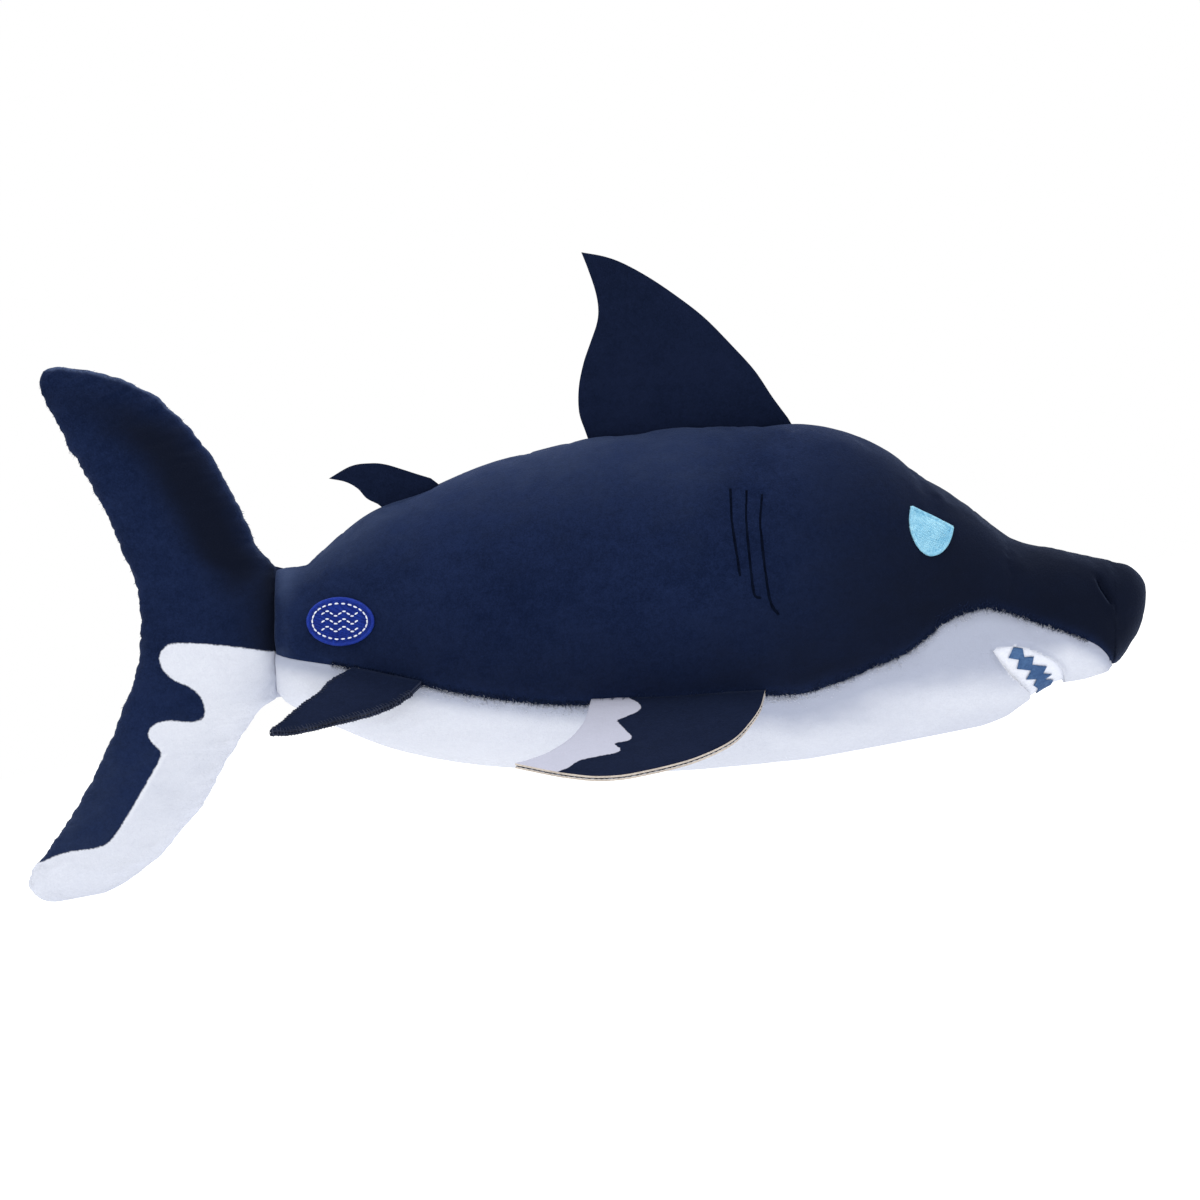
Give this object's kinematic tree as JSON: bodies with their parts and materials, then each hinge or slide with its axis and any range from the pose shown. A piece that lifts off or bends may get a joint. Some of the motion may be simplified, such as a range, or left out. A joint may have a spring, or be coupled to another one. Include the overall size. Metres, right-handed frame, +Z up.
{
  "type": "plush shark",
  "caption": "Stuffed plush shark with sewn back and belly covers, a forked tail, flat layered fins that bend, and embroidered eyes and gills.",
  "frame": {"origin": "middle of the footprint's box, on the surface that the shark rests on", "axes": "+X towards the nose, +Y to the shark's left, +Z up; the shark rests pitched 10.8 degrees nose-down on its throat and lower tail tip"},
  "size_m": [0.5175, 0.2092, 0.2432],
  "materials": {
    "navy_plush": "short-pile plush",
    "white_plush": "short-pile plush",
    "stuffing": "loose polyester fibre",
    "white_felt": "felt",
    "blue_felt": "felt",
    "pale_blue_thread": "satin-stitch embroidery",
    "dark_thread": "twisted thread",
    "royal_blue_thread": "filled embroidery",
    "white_thread": "twisted thread",
    "label_satin": "woven satin",
    "interlining": "non-woven interlining",
    "cream_thread": "overlock thread"
  },
  "bodies": {
    "trunk": {"body_cover_right": "navy_plush", "body_cover_left": "navy_plush", "belly_cover": "white_plush", "body_stuffing": "stuffing", "mouth_felt": "white_felt", "mouth_zigzag": "blue_felt", "eye_right": "pale_blue_thread", "eye_left": "pale_blue_thread", "gill_stitches_right": "dark_thread", "gill_stitches_left": "dark_thread", "nostril_stitch_right": "dark_thread", "nostril_stitch_left": "dark_thread", "badge": "royal_blue_thread", "badge_stitches": "white_thread", "badge_waves": "white_thread", "care_label": "label_satin", "closing_stitches": "white_thread"},
    "tail": {"tail_cover_right": "navy_plush", "tail_cover_left": "navy_plush", "tail_stuffing": "stuffing"},
    "dorsal_fin": {"dorsal_fin_right_layer": "navy_plush", "dorsal_fin_left_layer": "navy_plush", "dorsal_fin_interlining": "interlining"},
    "rear_fin": {"rear_fin_right_layer": "navy_plush", "rear_fin_left_layer": "navy_plush", "rear_fin_interlining": "interlining"},
    "pectoral_fin_right": {"pectoral_right_top_layer": "navy_plush", "pectoral_right_bottom_layer": "white_plush", "pectoral_right_interlining": "interlining", "pectoral_right_edge_thread": "cream_thread"},
    "pectoral_fin_left": {"pectoral_left_top_layer": "navy_plush", "pectoral_left_bottom_layer": "white_plush", "pectoral_left_interlining": "interlining", "pectoral_left_edge_thread": "cream_thread"},
    "pelvic_fin_right": {"pelvic_right_top_layer": "navy_plush", "pelvic_right_bottom_layer": "navy_plush", "pelvic_right_interlining": "interlining", "pelvic_right_edge_thread": "cream_thread"},
    "pelvic_fin_left": {"pelvic_left_top_layer": "navy_plush", "pelvic_left_bottom_layer": "navy_plush", "pelvic_left_interlining": "interlining", "pelvic_left_edge_thread": "cream_thread"}
  },
  "joints": [
    {"name": "tail_sway", "type": "hinge", "parent": "trunk", "child": "tail", "pos_m": [-0.12877, 0, 0.10084], "axis": [0.1874, 0, 0.9823], "range_deg": [-25, 25], "stiffness_Nm_per_rad": 0.4, "deforming": ["tail_cover_right", "tail_cover_left"]},
    {"name": "dorsal_fin_bend", "type": "hinge", "parent": "trunk", "child": "dorsal_fin", "pos_m": [0.06996, 0, 0.15801], "axis": [0.993, 0, -0.1184], "range_deg": [-50, 50], "stiffness_Nm_per_rad": 0.06},
    {"name": "rear_fin_bend", "type": "hinge", "parent": "trunk", "child": "rear_fin", "pos_m": [-0.06038, 0, 0.15249], "axis": [0.9648, 0, 0.2631], "range_deg": [-50, 50], "stiffness_Nm_per_rad": 0.02},
    {"name": "pectoral_fin_right_flap", "type": "hinge", "parent": "trunk", "child": "pectoral_fin_right", "pos_m": [0.04169, -0.05249, 0.03691], "axis": [-0.9903, 0.0314, 0.1356], "range_deg": [-10, 50], "stiffness_Nm_per_rad": 0.06},
    {"name": "pectoral_fin_left_flap", "type": "hinge", "parent": "trunk", "child": "pectoral_fin_left", "pos_m": [0.04169, 0.05249, 0.03691], "axis": [0.9903, 0.0314, -0.1356], "range_deg": [-10, 50], "stiffness_Nm_per_rad": 0.06},
    {"name": "pelvic_fin_right_flap", "type": "hinge", "parent": "trunk", "child": "pelvic_fin_right", "pos_m": [-0.08841, -0.03742, 0.07112], "axis": [-0.8956, 0.2541, 0.3651], "range_deg": [-15, 45], "stiffness_Nm_per_rad": 0.03},
    {"name": "pelvic_fin_left_flap", "type": "hinge", "parent": "trunk", "child": "pelvic_fin_left", "pos_m": [-0.08841, 0.03742, 0.07112], "axis": [0.8956, 0.2541, -0.3651], "range_deg": [-15, 45], "stiffness_Nm_per_rad": 0.03}
  ]
}
